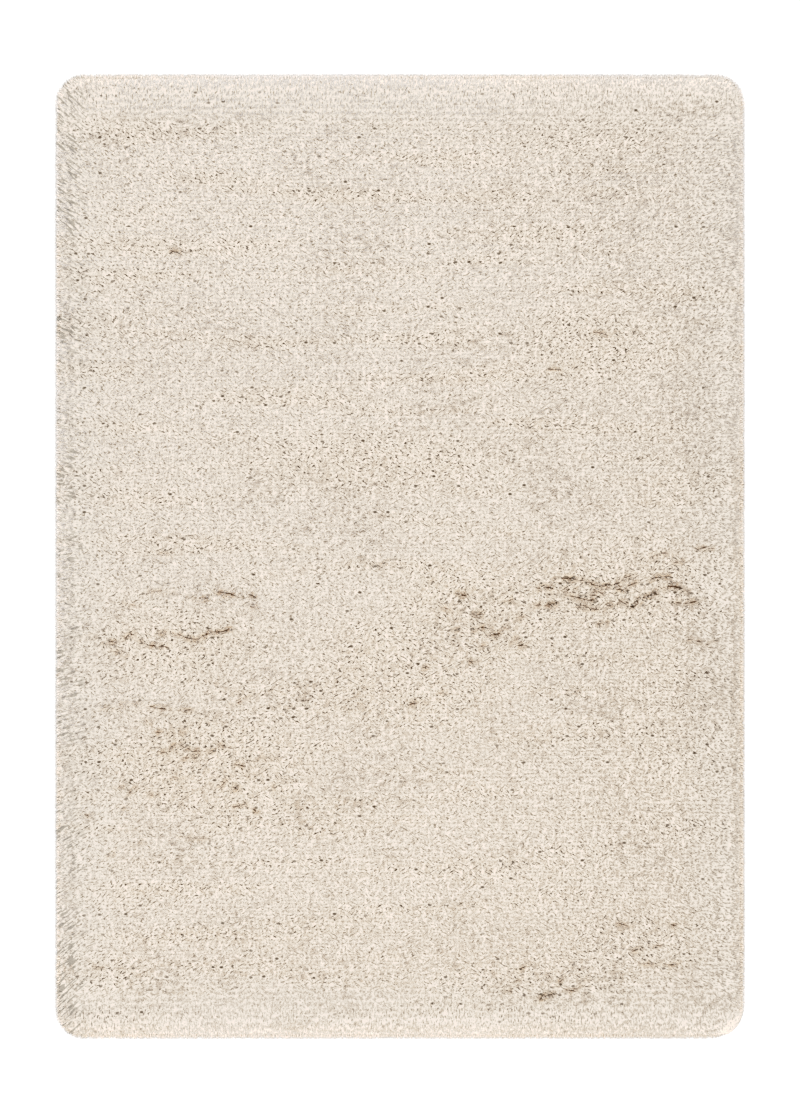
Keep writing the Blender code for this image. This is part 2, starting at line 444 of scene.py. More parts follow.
RIPPLE_SCALE = (30.0, 85.0, 0.0)
RIPPLE_PATCH_SHIFT = (3.0, 5.0, 0.0)
RIPPLE_PATCH_SCALE = 6.0
RIPPLE_PATCH = (0.40, 0.66, 0.05, 0.6)
RIPPLE_PUSH = (0.0, 0.10, 0.0018, 0.0)
RIPPLE_OPEN = (0.0, 0.022, 0.6, 0.0)


def pile_ripples(graph, place):
    """Fine ripples across the rug, more in some places than in others: how open the pile is, and how far it moves."""
    strength = graph.ramp(graph.noise(place + RIPPLE_PATCH_SHIFT, RIPPLE_PATCH_SCALE, detail=1.0), *RIPPLE_PATCH)
    side = graph.noise(place * RIPPLE_SCALE, detail=2.0) - NOISE_MEAN
    off_ridge = side.sum("ABSOLUTE")
    aside = graph.ramp(off_ridge, *RIPPLE_PUSH) * side.sum("SIGN") * strength
    return graph.ramp(off_ridge, *RIPPLE_OPEN) * strength, graph.vector(0.0, aside, 0.0)


# Patches where the pile is ruffled, in millimetres from the rug's middle
Ruffle = namedtuple("Ruffle", "x y reach_x reach_y strength")
RUFFLES = (
    Ruffle(395, -60, 230, 90, 1.0),
    Ruffle(140, -92, 190, 95, 0.9),
    Ruffle(13, -208, 220, 140, 0.75),
    Ruffle(-338, -376, 220, 130, 0.9),
    Ruffle(-408, -157, 210, 90, 0.6),
    Ruffle(-52, 173, 330, 80, 0.6),
    Ruffle(337, 382, 170, 100, 0.6),
    Ruffle(338, 763, 210, 70, 0.5),
    Ruffle(246, -778, 230, 60, 0.9),
    Ruffle(420, -690, 150, 70, 0.6),
    Ruffle(-530, -752, 110, 50, 0.6),
    Ruffle(500, -310, 160, 220, 0.4),
)
RUFFLE_FADE = (0.3, 1.1)
STREAK_SCALE = (2.5, 24.0, 0.0)
STREAKS = (0.46, 0.68, 0.0, 0.7)


def pile_ruffle(graph, place):
    """How ruffled the pile is at a place, from 0 to 1."""
    total = graph.ramp(graph.noise(place * STREAK_SCALE, detail=2.0), *STREAKS)
    for ruffle in RUFFLES:
        middle = (ruffle.x / MM_PER_METRE, ruffle.y / MM_PER_METRE, 0.0)
        reach = (ruffle.reach_x / MM_PER_METRE, ruffle.reach_y / MM_PER_METRE, 1.0)
        off = ((place - middle) / reach * LEVEL).sum("LENGTH").out("Value")
        total = total.sum("MAXIMUM", graph.ramp(off, *RUFFLE_FADE, ruffle.strength, 0.0))
    return total


# Small holes. A share of the cells of a pattern have one, and more of them where the pile is ruffled.
HOLES_PER_METRE = 62.0
HOLE_STRETCH = (0.65, 1.0, 0.0)
HOLE_SHARE = 0.14
RUFFLED_HOLE_SHARE = 0.8
SHALLOWEST_HOLE = 0.10


def pile_holes(graph, place, ruffle):
    """Small holes where a few strands stand apart: the way from the nearest one, how far, and how deep, from 0 to 1."""
    stretched = place * HOLE_STRETCH
    given = {"Vector": stretched, "Scale": HOLES_PER_METRE}
    hole = graph.add("ShaderNodeTexVoronoi", {"voronoi_dimensions": "2D"}, given, "Position")
    way = (stretched - hole) * LEVEL
    chance, darkness, _ = hole.out("Color").parts
    depth = SHALLOWEST_HOLE + (1.0 - SHALLOWEST_HOLE) * darkness * darkness
    has_hole = chance < HOLE_SHARE + ruffle * RUFFLED_HOLE_SHARE
    return way.sum("NORMALIZE"), way.sum("LENGTH").out("Value"), has_hole * depth


SWELL_SCALE = 5.0
SWELL = 0.007


def pile_swell(graph, place):
    """How much higher or lower than usual the pile stands at a place."""
    return (graph.noise(place, SWELL_SCALE, detail=1.0) - NOISE_MEAN) * SWELL


# Gaps between the tips, where the tips sink and the materials paint shade. They are short dashes that slant one way or
# the other in patches, and run lengthwise at the rug's two ends.
DASH_TURN = radians(30)
DASHES_ALONG = 140.0
DASHES_ASIDE = 340.0
DASH = (0.34, 0.42, 1.0, 0.0)
SLANT_PATCH_SHIFT = (7.0, 3.0, 0.0)
SLANT_PATCH_SCALE = 34.0
SLANT_TO_CORNERS = 0.4
SLANT_PATCH = (0.47, 0.53, 0.0, 1.0)
END_DASHES = (0.76, 0.85, 0.0, 1.0)


def dashes(graph, place, turn):
    """How far a place lies in one of many short shaded dashes, all turned the same way."""
    x, y, _ = place.parts
    run = x * cos(turn) + y * sin(turn)
    aside = y * cos(turn) - x * sin(turn)
    return graph.ramp(graph.noise(graph.vector(run * DASHES_ALONG, aside * DASHES_ASIDE), detail=1.0), *DASH)


def pile_gaps(graph, place):
    """The small gaps between the tips, from 0 to 1, where the tips sink and the materials paint shade."""
    x, y, _ = place.parts
    patch = graph.noise(place + SLANT_PATCH_SHIFT, SLANT_PATCH_SCALE)
    rising = graph.ramp(patch + x * y * SLANT_TO_CORNERS, *SLANT_PATCH)
    slanted = dashes(graph, place, DASH_TURN) * rising + dashes(graph, place, -DASH_TURN) * (1.0 - rising)
    at_end = graph.ramp(y.sum("ABSOLUTE"), *END_DASHES)
    return slanted * (1.0 - at_end) + dashes(graph, place, pi / 2) * at_end


# Locks at the left and right rims. The streaks between them fan out from the middle of the side to the corners. The
# tips sink in the streaks, and the materials paint grey shade on them.
LOCK_FAN = 1.1
LOCKS_ACROSS = 48.0
LOCKS_ALONG = 180.0
LOCK_WANDER = 0.12
LOCK_PATCH_SHIFT = (5.0, 1.0, 0.0)
LOCK_PATCH_SCALE = 14.0
LOCKS_TO_CORNERS = 0.25
LOCK_PATCH = (0.50, 0.66, 0.45, 1.15)
LEFT_LOCKS = (-0.612, -0.565, 1.0, 0.0)
RIGHT_LOCKS = (0.585, 0.610, 0.0, 0.4)
LOCK_STREAK = (0.41, 0.47, 1.0, 0.0)


def rim_locks(graph, place):
    """The streaks between the locks at the rug's left and, less, its right rim, from 0 to about 1: where the materials
    paint grey shade.
    """
    x, y, _ = place.parts
    outward = y + (x + CLOTH_WIDTH / 2) * y * LOCK_FAN
    lock = graph.noise(graph.vector(x * LOCKS_ACROSS, outward * LOCKS_ALONG), detail=1.0)
    patch = graph.noise(place + LOCK_PATCH_SHIFT, LOCK_PATCH_SCALE)
    x = x + (lock - NOISE_MEAN) * LOCK_WANDER
    sides = graph.ramp(x, *LEFT_LOCKS) + graph.ramp(x, *RIGHT_LOCKS)
    sides = sides * graph.ramp(patch + y.sum("ABSOLUTE") * LOCKS_TO_CORNERS, *LOCK_PATCH)
    return graph.ramp(lock, *LOCK_STREAK) * sides


# Inner pile. Below their tips the strands stand so close that they are one soft mass, which shows between them. It
# is a lumpy body, deep at the partings, and it comes close to the outline below the strands that droop past the cloth.

PILE_HEIGHT = 0.0395
RIM_OVERHANG = 0.0274
RIM_CORNER = 0.053
INNER_PITCH = 0.0056
INNER_INSET = 0.004
INNER_HEIGHT = 0.843
INNER_ROUNDING = 0.0145
INNER_LIFT = 0.0004
LUMP_SCALE = 110.0
LUMP_RISE = 0.005
TROUGH = (0.002, 0.006, 1.0, 0.0)
TROUGH_DEPTH = 0.011
RIPPLE_DEPTH = 0.010
NEAR_PARTING = (0.006, 0.009, 1.0, 0.0)
WARM_BY_PARTING = (0.002, 0.008, 1.0, 0.0)
MERGE_DISTANCE = 0.0001
OBJECT = "NodeSocketObject"
MATERIAL = "NodeSocketMaterial"
NUMBER = "NodeSocketFloat"


def named_inputs(tree, graph, inputs):
    """Give the tree its inputs, by name: an object, a material, or a number with its usual value."""
    for name, usual in inputs.items():
        kind = usual if usual in (OBJECT, MATERIAL) else NUMBER
        socket = tree.interface.new_socket(name=name, in_out="INPUT", socket_type=kind)
        if kind == NUMBER:
            socket.default_value = usual
    tree.interface.new_socket(name="Geometry", in_out="OUTPUT", socket_type="NodeSocketGeometry")
    start = graph.add("NodeGroupInput", {}, {})
    return {name: start.out(name) for name in inputs}


def edge_distance(graph, place, width, length, corner):
    """How far inside a rectangle with round corners a place lies."""
    past = place.sum("ABSOLUTE") - (width / 2 - corner, length / 2 - corner, 0.0)
    past_x, past_y, _ = past.parts
    return corner - past.sum("MAXIMUM", 0.0).sum("LENGTH") - past_x.sum("MAXIMUM", past_y).sum("MINIMUM", 0.0)


def inner_pile_tree():
    tree = bpy.data.node_groups.new("inner_pile", "GeometryNodeTree")
    graph = Graph(tree)
    inputs = {"Partings": OBJECT, "Material": MATERIAL, "Pitch": INNER_PITCH, "Pile Height": PILE_HEIGHT}
    given = named_inputs(tree, graph, inputs)
    add = graph.add

    # A level sheet with the rug's outline
    width = CLOTH_WIDTH + 2 * (RIM_OVERHANG - INNER_INSET)
    length = CLOTH_LENGTH + 2 * (RIM_OVERHANG - INNER_INSET)
    corner = RIM_CORNER - INNER_INSET
    grid = {
        "Size X": width,
        "Size Y": length,
        "Vertices X": width / given["Pitch"],
        "Vertices Y": length / given["Pitch"],
    }
    top = add("GeometryNodeMeshGrid", {}, grid, "Mesh")
    place = add("GeometryNodeInputPosition", {}, {})
    x, y, _ = place.parts
    round_y = (y.sum("ABSOLUTE") - (length / 2 - corner)).sum("MAXIMUM", 0.0)
    half_row = (corner**2 - round_y * round_y).sum("MAXIMUM", 0.0).sum("SQRT") + (width / 2 - corner)
    spot = graph.vector(x * half_row / (width / 2), y, 0.0)
    top = add("GeometryNodeSetPosition", {}, {"Geometry": top, "Position": spot})

    # Its height, and what the material needs
    inside = edge_distance(graph, place, width, length, corner)
    off_line, from_line, opening = pile_partings(graph, given["Partings"], place)
    _, side, _ = off_line.parts
    trough = graph.ramp(from_line, *TROUGH) * opening
    ripple, _ = pile_ripples(graph, place)
    lumps = (graph.noise(place, LUMP_SCALE, detail=1.0) - NOISE_MEAN) * LUMP_RISE
    rise = 1.0 - (inside * (-1 / INNER_ROUNDING)).sum("EXPONENT")
    high = given["Pile Height"] * INNER_HEIGHT + pile_swell(graph, place)
    height = (high + lumps - trough * TROUGH_DEPTH - ripple * RIPPLE_DEPTH) * rise
    kept = {
        "from_outline": inside + INNER_INSET,
        "ruffle": pile_ruffle(graph, place),
        "opening": opening * graph.ramp(from_line, *NEAR_PARTING),
        "parted": opening * graph.ramp(from_line, *WARM_BY_PARTING),
        "from_line": from_line * side.sum("SIGN"),
    }
    for name, value in kept.items():
        top = add("GeometryNodeStoreNamedAttribute", {}, {"Geometry": top, "Name": name, "Value": value})

    # A flat base inside the edges that have one face, joined to the raised sheet
    faces = add("GeometryNodeInputMeshEdgeNeighbors", {}, {})
    rim = add("GeometryNodeMeshToCurve", {}, {"Mesh": top, "Selection": faces < 2.0})
    base = add("GeometryNodeFillCurve", {"mode": "NGONS"}, {"Curve": rim})
    base = add("GeometryNodeFlipFaces", {}, {"Mesh": base})
    top = add("GeometryNodeSetPosition", {}, {"Geometry": top, "Offset": graph.vector(0.0, 0.0, height)})
    joined = tree.nodes.new("GeometryNodeJoinGeometry")
    tree.links.new(base.socket, joined.inputs[0])
    tree.links.new(top.socket, joined.inputs[0])
    body = Wire(graph, joined.outputs[0])
    body = add("GeometryNodeMergeByDistance", {}, {"Geometry": body, "Distance": MERGE_DISTANCE})
    body = add("GeometryNodeSetPosition", {}, {"Geometry": body, "Offset": graph.vector(0.0, 0.0, INNER_LIFT)})
    body = add("GeometryNodeSetShadeSmooth", {}, {"Geometry": body})
    body = add("GeometryNodeSetMaterial", {}, {"Geometry": body, "Material": given["Material"]})
    add("NodeGroupOutput", {}, {"Geometry": body})
    return tree


# The inner pile's yarn colour, and painted shade: in its gaps and fibre specks, darker in ruffles and holes, in the
# cracks and in the rim's lock streaks, with painted warm shade at the partings and ruffles
INNER_LIGHT = (0.79, 0.706, 0.61)
INNER_WARM_SHADE = (0.70, 0.54, 0.37)
INNER_GAP_SHADE = (0.25, 0.200, 0.145)
INNER_DEEP_SHADE = (0.07, 0.043, 0.020)
INNER_CRACK_SHADE = (0.085, 0.034, 0.008)
LOCK_SHADE_COLOUR = (0.27, 0.245, 0.205)
LOCK_SHARE = 0.7
INNER_ROUGHNESS = 0.95
INNER_SPECULAR = 0.1
FIBRE_SCALE = 330.0
INNER_FIBRE_STRETCH = (0.7, 1.0, 1.0)
INNER_FIBRE_SHADE = (0.40, 0.30, 0.0, 0.6)
MARKS_INSIDE = (0.010, 0.060, 0.6, 1.0)
RUFFLE_WARMTH = 0.1
RUFFLE_DEEP = (0.10, 0.60, 0.0, 1.0)
CRACK_HALF = 0.0004
CRACK_OPEN_HALF = 0.0020
CRACK_SHOWS = (0.05, 0.35, 0.0, 1.0)
HOLE_SHADE_SPOT = (0.0012, 0.0034, 1.0, 0.0)

# Painted light and shade by distance from the outline: painted light on the outermost strands, which droop low into
# shade, and painted shade over the rim up to 80 mm in, fading out by 135 mm, where the leaning strands catch more light
RIM_PAINTED_LIGHT = ((0.0, 0.016, 1.14, 1.0), (0.018, 0.034, 1.11, 1.0), (0.080, 0.135, 0.915, 1.0))


def attribute(graph, name):
    return graph.add("ShaderNodeAttribute", {"attribute_name": name}, {}, "Fac")


def tints(graph, value, steps):
    """One value through several smooth steps, multiplied."""
    total = graph.ramp(value, *steps[0])
    for step in steps[1:]:
        total = total * graph.ramp(value, *step)
    return total


def inner_pile_material():
    settings = {"Roughness": INNER_ROUGHNESS, "Specular IOR Level": INNER_SPECULAR}
    material, graph, surface = new_finish("inner_pile_yarn", settings)
    place = graph.add("ShaderNodeTexCoord", {}, {}, "Object") * LEVEL
    from_outline = attribute(graph, "from_outline")
    parted = attribute(graph, "parted")
    ruffle = attribute(graph, "ruffle")
    opening = attribute(graph, "opening")

    # Light yarn with painted shade in the gaps and fibre specks, deeper where it is ruffled, painted warm shade at the
    # partings and ruffles, and painted grey shade in the rim's lock streaks
    inside = graph.ramp(from_outline, *MARKS_INSIDE)
    fibres = graph.noise(place * INNER_FIBRE_STRETCH, FIBRE_SCALE, detail=1.0)
    between = pile_gaps(graph, place).sum("MAXIMUM", graph.ramp(fibres, *INNER_FIBRE_SHADE)) * inside
    light = graph.mix((parted + ruffle * RUFFLE_WARMTH).sum("MINIMUM", 1.0), INNER_LIGHT, INNER_WARM_SHADE)
    painted_gap_shade = graph.mix(graph.ramp(ruffle, *RUFFLE_DEEP), INNER_GAP_SHADE, INNER_DEEP_SHADE)
    colour = graph.mix(between, light, painted_gap_shade)
    colour = graph.mix(rim_locks(graph, place) * LOCK_SHARE, colour, LOCK_SHADE_COLOUR)

    # Painted shade in the holes, cracks and ripples, and painted light and shade by the rim
    _, from_hole, hole_depth = pile_holes(graph, place, ruffle)
    colour = graph.mix(graph.ramp(from_hole, *HOLE_SHADE_SPOT) * hole_depth * inside, colour, INNER_DEEP_SHADE)
    half_open = CRACK_HALF + opening * CRACK_OPEN_HALF
    crack = graph.ramp(attribute(graph, "from_line").sum("ABSOLUTE"), half_open * 0.5, half_open, 1.0, 0.0)
    ripple, _ = pile_ripples(graph, place)
    crack = (crack * graph.ramp(opening, *CRACK_SHOWS)).sum("MAXIMUM", ripple)
    colour = graph.mix(crack, colour, INNER_CRACK_SHADE)
    rim = tints(graph, from_outline, RIM_PAINTED_LIGHT)
    graph.feed(surface, "Base Color", colour * graph.vector(rim, rim, rim))
    return material


def plant(name, tree, inputs):
    """One part of the pile, as a plain mesh."""
    maker = bpy.data.objects.new(name, bpy.data.meshes.new(name))
    scene.collection.objects.link(maker)
    modifier = maker.modifiers.new("plant_pile", "NODES")
    modifier.node_group = tree
    for item in tree.interface.items_tree:
        if item.in_out == "INPUT" and item.name in inputs:
            modifier[item.identifier] = inputs[item.name]
    bpy.context.view_layer.update()
    planted = bpy.data.meshes.new_from_object(maker.evaluated_get(bpy.context.evaluated_depsgraph_get()))
    maker.modifiers.remove(modifier)
    maker.data = planted
    planted.name = name
    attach(maker, "root")
    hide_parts("shag_rug")
    return maker


inner_pile = plant("inner_pile", inner_pile_tree(), {"Partings": partings, "Material": inner_pile_material()})


# One strand of pile: a plump twisted yarn, three sided so that tens of thousands stay light. It stands one unit high
# and is bent and sized when it is planted. The strands of the rim have one more joint to bend at.

STRAND_SIDES = 3
STRAND_TWIST = 50.0
PLAIN_RINGS = ((0.76, 1.00),)
RIM_RINGS = ((0.42, 0.85), (0.86, 1.00))


def make_strand(name, rings):
    mesh = bmesh.new()
    levels = []
    for height, width in rings:
        turn = radians(STRAND_TWIST) * len(levels)
        angles = [turn + 2 * pi * side / STRAND_SIDES for side in range(STRAND_SIDES)]
        levels.append([mesh.verts.new((width * cos(a), width * sin(a), height)) for a in angles])
    root = mesh.verts.new((0, 0, 0))
    tip = mesh.verts.new((0, 0, 1))
    place = mesh.loops.layers.uv.new("strand_map")
    rows = [0.0, *(height for height, width in rings), 1.0]

    def lay(face, corners):
        for loop, (around, row) in zip(face.loops, corners):
            loop[place].uv = (around / STRAND_SIDES, row / (len(rows) - 1))

    for side in range(STRAND_SIDES):
        after = (side + 1) % STRAND_SIDES
        lay(mesh.faces.new((root, levels[0][after], levels[0][side])), ((side + 0.5, 0), (side + 1, 1), (side, 1)))
        for row, (low, high) in enumerate(zip(levels, levels[1:]), 1):
            face = mesh.faces.new((low[side], low[after], high[after], high[side]))
            lay(face, ((side, row), (side + 1, row), (side + 1, row + 1), (side, row + 1)))
        last = len(levels)
        face = mesh.faces.new((levels[-1][side], levels[-1][after], tip))
        lay(face, ((side, last), (side + 1, last), (side + 0.5, last + 1)))
    return finished_mesh(name, mesh)


plain_strand = make_strand("plain_strand", PLAIN_RINGS)
rim_strand = make_strand("rim_strand", RIM_RINGS)


# Pile. Strands are planted in close rows through the ground cloth and gather into small clumps. In the middle they
# stand up and lean slightly with the nap, and from 85 mm inside the cloth's edge they lean over and droop past it to
# the floor. One tree plants the four bands of the middle and the two halves of the rim, and its inputs say which.

# Stitches
ROW_PITCH = 1 / 150
STITCH_PITCH = 0.00285
RIM_PITCH = 0.0031
STITCH_WANDER = (0.8, 0.5, 0.0)
SPARE_ROW = 1.01
FAR = 9.0
STRAND_RADIUS = 0.0028
RIM_STRAND_RADIUS = 0.0019
RADIUS_SPREAD = (0.85, 1.15)
STRAND_LIFT = 0.0003
MAP_FILL = 0.8

# Lean of the tips
RIM_REACH = 0.038
RIM_REACH_SPREAD = (0.85, 1.12)
SPLAY_START = 0.015
SPLAY_BAND = 0.085
NAP_SHIFT = (7.0, 2.0, 0.0)
NAP_SCALE = (1.6, 4.0, 1.0)
NAP_TURN = 3.0
NAP_LEAN = 0.007
SWIRL_SCALE = 5.0
SWIRL_LEAN = (0.003, 0.003, 0.0)
CHANCE_LEAN_X = 0.0022
CHANCE_LEAN_Y = 0.0013
RUFFLED_LEAN = 0.7
MIDDLE = (0.005, 0.050, 0.0, 1.0)
CLUMPS_PER_METRE = 155.0
CLUMP_STRETCH = (0.6, 1.0, 1.0)
CLUMP_DISORDER = 0.75
CLUMP_PULL = (0.10, 0.20, 0.0)

# Partings and holes, and how far the tips sink at each mark
HAZE = (0.0015, 0.0065, 1.0, 0.0)
CRACK_LINE = (0.0004, 0.0014, 1.0, 0.0)
CRACK_OPENS = (0.1, 0.5, 0.0, 1.0)
PARTING_PUSH = (0.0, 0.008, 0.0006, 0.0)
PARTING_PUSH_OPEN = (0.1, 0.8, 1.0, 3.6)
HOLE_PUSH = (0.0, 0.007, 0.0037, 0.0)
BESIDE_HOLE = (0.002, 0.005, 1.0, 0.0)
# How much painted shade the strands beside a hole take
HOLE_SHADE = 0.7
CRACK_SINK = 0.006
RIPPLE_SINK = 0.005
HOLE_SINK = 0.004
GAP_SINK = 0.0015
RUFFLED_GAP_SINK = 0.0095
LOCK_SINK = 0.006

# Outline, height and droop
RIM_CORNER_BOTTOM_RIGHT = 0.065
RIM_UNEVEN = 0.0030
RIM_ROUNDING = 0.017
HEIGHT_SPREAD = (-0.0014, 0.0012)
LOWEST_TIER = 0.35
TIER_BAND = 0.015
LOWEST_TIP = 0.0035
ARCH = (0.0, 0.030, 0.017, 0.0)
ARCH_SPREAD = (0.6, 1.1)
LOWEST_ARCH = 0.6
ARCH_STEEPNESS = 4.0
BEND = 1.35


def nearest_clump(graph, place):
    """The way to the middle of the clump that a tip gathers to."""
    onto_rows = (0.0, (0.5 + CLUMP_DISORDER / 2) / CLUMPS_PER_METRE, 0.0)
    sample = place * CLUMP_STRETCH + onto_rows
    given = {"Vector": sample, "Scale": CLUMPS_PER_METRE, "Randomness": CLUMP_DISORDER}
    clump = graph.add("ShaderNodeTexVoronoi", {"voronoi_dimensions": "2D"}, given, "Position")
    return (clump - sample) / CLUMP_STRETCH * LEVEL


def plant_pile_tree():
    tree = bpy.data.node_groups.new("plant_pile", "GeometryNodeTree")
    graph = Graph(tree)
    inputs = {
        "Strand": OBJECT,
        "Partings": OBJECT,
        "Material": MATERIAL,
        "Least Depth": 0.0,
        "Most Depth": FAR,
        "Low X": -FAR,
        "High X": FAR,
        "Low Y": -FAR,
        "High Y": FAR,
        "Row Pitch": ROW_PITCH,
        "Stitch Pitch": STITCH_PITCH,
        "Pile Height": PILE_HEIGHT,
        "Strand Radius": STRAND_RADIUS,
    }
    given = named_inputs(tree, graph, inputs)
    add = graph.add
    smooth = graph.ramp

    def random(low, high, seed):
        return add("FunctionNodeRandomValue", {"data_type": "FLOAT"}, {"Min": low, "Max": high, "Seed": seed})

    def store(geometry, name, value, kind="FLOAT", domain="POINT"):
        settings = {"data_type": kind, "domain": domain}
        return add("GeometryNodeStoreNamedAttribute", settings, {"Geometry": geometry, "Name": name, "Value": value})

    def read(name, kind="FLOAT"):
        return add("GeometryNodeInputNamedAttribute", {"data_type": kind}, {"Name": name})

    # Rows of stitches over the whole cloth, each stitch a little out of place
    grid = {
        "Size X": CLOTH_WIDTH,
        "Size Y": CLOTH_LENGTH,
        "Vertices X": CLOTH_WIDTH / given["Stitch Pitch"],
        "Vertices Y": CLOTH_LENGTH / given["Row Pitch"] + SPARE_ROW,
    }
    points = add("GeometryNodeMeshGrid", {}, grid, "Mesh")
    wander_x = random(-0.5, 0.5, 1) * given["Stitch Pitch"]
    wander_y = random(-0.5, 0.5, 2) * given["Row Pitch"]
    wander = graph.vector(wander_x, wander_y) * STITCH_WANDER
    points = add("GeometryNodeSetPosition", {}, {"Geometry": points, "Offset": wander})

    # How deep a stitch lies inside the cloth's edge
    place = add("GeometryNodeInputPosition", {}, {})
    points = store(points, "depth", edge_distance(graph, place, CLOTH_WIDTH, CLOTH_LENGTH, CLOTH_CORNER))
    depth = read("depth")
    x, y, _ = place.parts
    left_out = (depth < given["Least Depth"]) + (depth > given["Most Depth"])
    left_out = left_out + (x < given["Low X"]) + (x > given["High X"]) + (y < given["Low Y"]) + (y > given["High Y"])
    points = add("GeometryNodeDeleteGeometry", {"domain": "POINT"}, {"Geometry": points, "Selection": left_out > 0.5})
    points = store(points, "cell", add("GeometryNodeInputIndex", {}, {}), "INT")
    count = add("GeometryNodeAttributeDomainSize", {"component": "MESH"}, {"Geometry": points}, "Point Count")
    cells = count.sum("SQRT").sum("CEIL")

    # Lean of the rim's strands, square to the nearest side and fanning at the corners
    core = (CLOTH_WIDTH / 2 - SPLAY_BAND, CLOTH_LENGTH / 2 - SPLAY_BAND, 0.0)
    outward = ((place.sum("ABSOLUTE") - core).sum("MAXIMUM", 0.0) * place.sum("SIGN")).sum("NORMALIZE")
    lean = outward * (smooth(depth, SPLAY_START, SPLAY_BAND, RIM_REACH, 0.0) * random(*RIM_REACH_SPREAD, 3))

    # Lean in the middle: along the nap, which turns slowly, in swirls, by chance and into clumps
    nap = (graph.noise((place + NAP_SHIFT) * NAP_SCALE) - NOISE_MEAN) * NAP_TURN
    broad = graph.vector(nap.sum("COSINE"), nap.sum("SINE"), 0.0) * NAP_LEAN
    swirl = (graph.noise(place, SWIRL_SCALE, detail=1.0, output="Color") - NOISE_MEAN) * SWIRL_LEAN
    ruffle = pile_ruffle(graph, place)
    chance = graph.vector(random(-CHANCE_LEAN_X, CHANCE_LEAN_X, 5), random(-CHANCE_LEAN_Y, CHANCE_LEAN_Y, 6))
    middle = smooth(depth, *MIDDLE)
    lean = lean + (broad + swirl) * middle + chance * (1.0 + ruffle * RUFFLED_LEAN)
    lean = lean + nearest_clump(graph, (place + lean) * LEVEL) * CLUMP_PULL * middle

    # Marks: the tips move away on both sides of a parting and from a hole, and sink
    tip_place = place + lean
    between = pile_gaps(graph, tip_place)
    off_line, from_line, opening = pile_partings(graph, given["Partings"], tip_place)
    parted = smooth(from_line, *HAZE) * opening
    crack = smooth(from_line, *CRACK_LINE) * smooth(opening, *CRACK_OPENS)
    ripple, aside = pile_ripples(graph, tip_place)
    hole_way, from_hole, hole_depth = pile_holes(graph, tip_place, ruffle)
    lean = lean + hole_way * (smooth(from_hole, *HOLE_PUSH) * hole_depth * middle)
    beside_hole = smooth(from_hole, *BESIDE_HOLE) * hole_depth * middle
    push = smooth(from_line, *PARTING_PUSH) * smooth(opening, *PARTING_PUSH_OPEN)
    lean = lean + off_line.sum("NORMALIZE") * push + aside
    sunk = crack * CRACK_SINK + ripple * RIPPLE_SINK + beside_hole * HOLE_SINK
    sunk = sunk + between * (GAP_SINK + RUFFLED_GAP_SINK * ruffle) + rim_locks(graph, place + lean) * LOCK_SINK
    # The crack and the strands beside a hole carry painted shade into the material
    crack = crack.sum("MAXIMUM", beside_hole * HOLE_SHADE)

    # No tip passes the rug's outline, a rectangle with round corners
    tip_place = place + lean
    tip_x, tip_y, _ = tip_place.parts
    corner = RIM_CORNER + (tip_x > 0.0) * (tip_y < 0.0) * (RIM_CORNER_BOTTOM_RIGHT - RIM_CORNER)
    half = (CLOTH_WIDTH / 2 + RIM_OVERHANG, CLOTH_LENGTH / 2 + RIM_OVERHANG, 0.0)
    flat_corner = graph.vector(corner, corner, 0.0)
    past = tip_place.sum("ABSOLUTE") - half + flat_corner
    past_x, past_y, _ = past.parts
    past_corner = past.sum("MAXIMUM", 0.0) * tip_place.sum("SIGN")
    from_outline = corner - past_corner.sum("LENGTH") - past_x.sum("MAXIMUM", past_y).sum("MINIMUM", 0.0)
    excess = (random(0.0, RIM_UNEVEN, 4) - from_outline).sum("MAXIMUM", 0.0)
    lean = lean - past_corner.sum("NORMALIZE") * excess
    from_outline = from_outline + excess

    # Height of a tip, lower towards the outline, and the arch that a drooping strand makes
    profile = 1.0 - (from_outline * (-1 / RIM_ROUNDING)).sum("EXPONENT")
    height = given["Pile Height"] + pile_swell(graph, place) + random(*HEIGHT_SPREAD, 7)
    tier = random(LOWEST_TIER, 1.0, 8)
    tip = height * profile * smooth(from_outline, 0.0, TIER_BAND, tier, 1.0) - sunk
    arch = smooth(from_outline, *ARCH) * random(*ARCH_SPREAD, 9) * smooth(tier, LOWEST_TIER, 1.0, LOWEST_ARCH, 1.0)

    points = store(points, "root", place, "FLOAT_VECTOR")
    points = store(points, "lean", lean, "FLOAT_VECTOR")
    kept = {
        "tip": tip.sum("MAXIMUM", LOWEST_TIP),
        "arch": arch,
        "yarn": random(0.0, 1.0, 10),
        "from_outline": from_outline,
        "crack": crack,
        "parted": parted,
        "ruffle": ruffle,
    }
    for name, value in kept.items():
        points = store(points, name, value)

    # One strand in every stitch, turned and sized by chance
    strand = add("GeometryNodeObjectInfo", {}, {"Object": given["Strand"]}, "Geometry")
    turn = graph.vector(0.0, 0.0, random(0.0, 2 * pi, 11))
    thick = given["Strand Radius"] * random(*RADIUS_SPREAD, 12)
    size = graph.vector(thick, thick, 1.0)
    planting = {"Points": points, "Instance": strand, "Rotation": turn, "Scale": size}
    pile = add("GeometryNodeInstanceOnPoints", {}, planting)
    pile = add("GeometryNodeRealizeInstances", {}, {"Geometry": pile})

